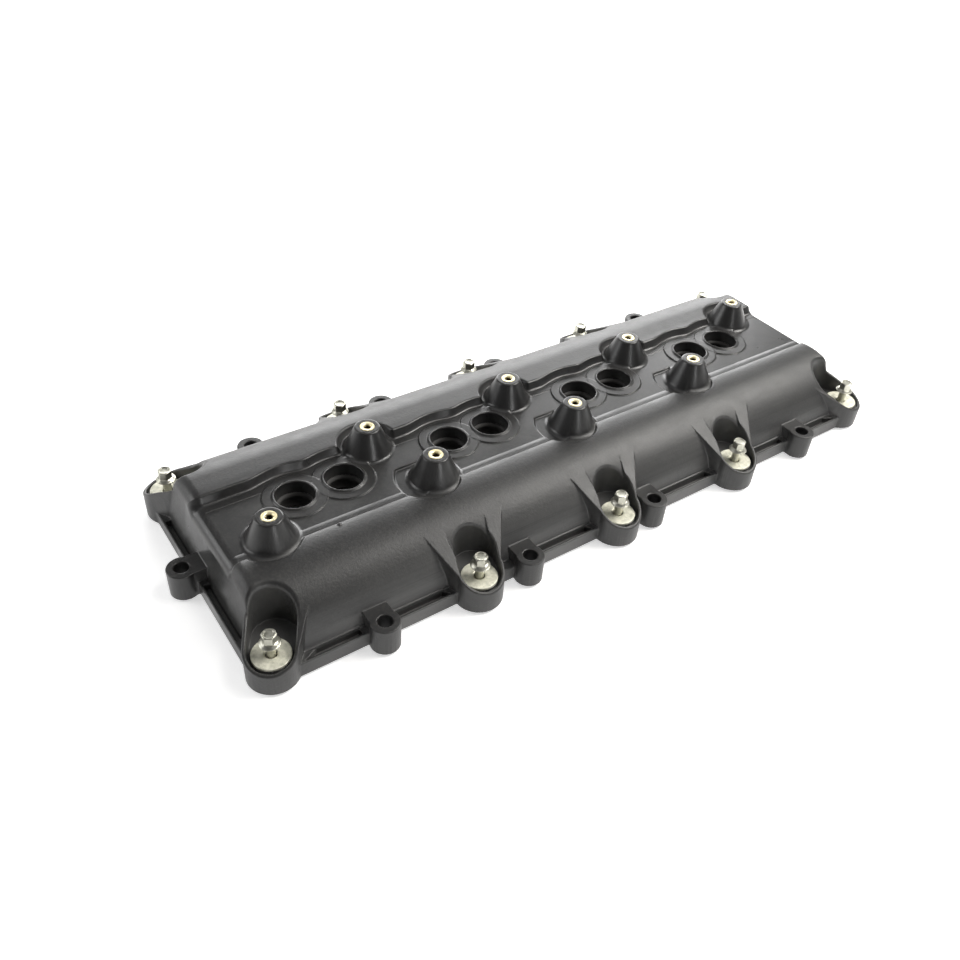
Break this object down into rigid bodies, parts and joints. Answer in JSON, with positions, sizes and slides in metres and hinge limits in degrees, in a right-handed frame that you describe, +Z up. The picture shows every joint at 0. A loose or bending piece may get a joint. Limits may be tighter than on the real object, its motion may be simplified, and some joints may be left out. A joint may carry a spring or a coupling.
{
  "type": "cylinder head rocker cover",
  "caption": "Long moulded rocker cover for a cylinder head, with paired plug wells, threaded coil bosses, a flange gasket and captive hexagon bolts on wide washers.",
  "frame": {"origin": "centre of the cover's outline, on the free lower face of the gasket", "axes": "+X along the row of cylinders, +Y across the cover to the side with the higher barrel, +Z up, away from the cylinder head"},
  "size_m": [0.5438, 0.2116, 0.0615],
  "materials": {
    "moulding": "satin",
    "gasket_rubber": "matt",
    "seal_rubber": "matt",
    "grommet_rubber": "matt",
    "insert_brass": "turned",
    "washer_zinc": "zinc plated",
    "sleeve_steel": "zinc plated",
    "bolt_steel": "zinc plated",
    "baffle_sheet": "rolled sheet",
    "baffle_screw": "zinc plated"
  },
  "bodies": {
    "cover": {"cover_shell": "moulding", "perimeter_gasket": "gasket_rubber", "oil_baffle": "baffle_sheet", "baffle_screws": "baffle_screw", "well_seal_1": "seal_rubber", "well_seal_2": "seal_rubber", "well_seal_3": "seal_rubber", "well_seal_4": "seal_rubber", "well_seal_5": "seal_rubber", "well_seal_6": "seal_rubber", "well_seal_7": "seal_rubber", "well_seal_8": "seal_rubber", "brass_insert_1": "insert_brass", "brass_insert_2": "insert_brass", "brass_insert_3": "insert_brass", "brass_insert_4": "insert_brass", "brass_insert_5": "insert_brass", "brass_insert_6": "insert_brass", "brass_insert_7": "insert_brass", "brass_insert_8": "insert_brass", "washer_1": "washer_zinc", "washer_2": "washer_zinc", "washer_3": "washer_zinc", "washer_4": "washer_zinc", "washer_5": "washer_zinc", "washer_6": "washer_zinc", "washer_7": "washer_zinc", "washer_8": "washer_zinc", "washer_9": "washer_zinc", "washer_10": "washer_zinc", "grommet_1": "grommet_rubber", "grommet_2": "grommet_rubber", "grommet_3": "grommet_rubber", "grommet_4": "grommet_rubber", "grommet_5": "grommet_rubber", "grommet_6": "grommet_rubber", "grommet_7": "grommet_rubber", "grommet_8": "grommet_rubber", "grommet_9": "grommet_rubber", "grommet_10": "grommet_rubber", "sleeve_1": "sleeve_steel", "sleeve_2": "sleeve_steel", "sleeve_3": "sleeve_steel", "sleeve_4": "sleeve_steel", "sleeve_5": "sleeve_steel", "sleeve_6": "sleeve_steel", "sleeve_7": "sleeve_steel", "sleeve_8": "sleeve_steel", "sleeve_9": "sleeve_steel", "sleeve_10": "sleeve_steel"},
    "bolt_1": {"bolt_1": "bolt_steel"},
    "bolt_2": {"bolt_2": "bolt_steel"},
    "bolt_3": {"bolt_3": "bolt_steel"},
    "bolt_4": {"bolt_4": "bolt_steel"},
    "bolt_5": {"bolt_5": "bolt_steel"},
    "bolt_6": {"bolt_6": "bolt_steel"},
    "bolt_7": {"bolt_7": "bolt_steel"},
    "bolt_8": {"bolt_8": "bolt_steel"},
    "bolt_9": {"bolt_9": "bolt_steel"},
    "bolt_10": {"bolt_10": "bolt_steel"}
  },
  "joints": [
    {"name": "bolt_1_slide", "type": "slide", "parent": "cover", "child": "bolt_1", "axis": [0, 0, 1], "range_m": [-0.0087, 0.004]},
    {"name": "bolt_2_slide", "type": "slide", "parent": "cover", "child": "bolt_2", "axis": [0, 0, 1], "range_m": [-0.0087, 0.004]},
    {"name": "bolt_3_slide", "type": "slide", "parent": "cover", "child": "bolt_3", "axis": [0, 0, 1], "range_m": [-0.0087, 0.004]},
    {"name": "bolt_4_slide", "type": "slide", "parent": "cover", "child": "bolt_4", "axis": [0, 0, 1], "range_m": [-0.0087, 0.004]},
    {"name": "bolt_5_slide", "type": "slide", "parent": "cover", "child": "bolt_5", "axis": [0, 0, 1], "range_m": [-0.0087, 0.004]},
    {"name": "bolt_6_slide", "type": "slide", "parent": "cover", "child": "bolt_6", "axis": [0, 0, 1], "range_m": [-0.0087, 0.004]},
    {"name": "bolt_7_slide", "type": "slide", "parent": "cover", "child": "bolt_7", "axis": [0, 0, 1], "range_m": [-0.0087, 0.004]},
    {"name": "bolt_8_slide", "type": "slide", "parent": "cover", "child": "bolt_8", "axis": [0, 0, 1], "range_m": [-0.0087, 0.004]},
    {"name": "bolt_9_slide", "type": "slide", "parent": "cover", "child": "bolt_9", "axis": [0, 0, 1], "range_m": [-0.0087, 0.004]},
    {"name": "bolt_10_slide", "type": "slide", "parent": "cover", "child": "bolt_10", "axis": [0, 0, 1], "range_m": [-0.0087, 0.004]}
  ]
}
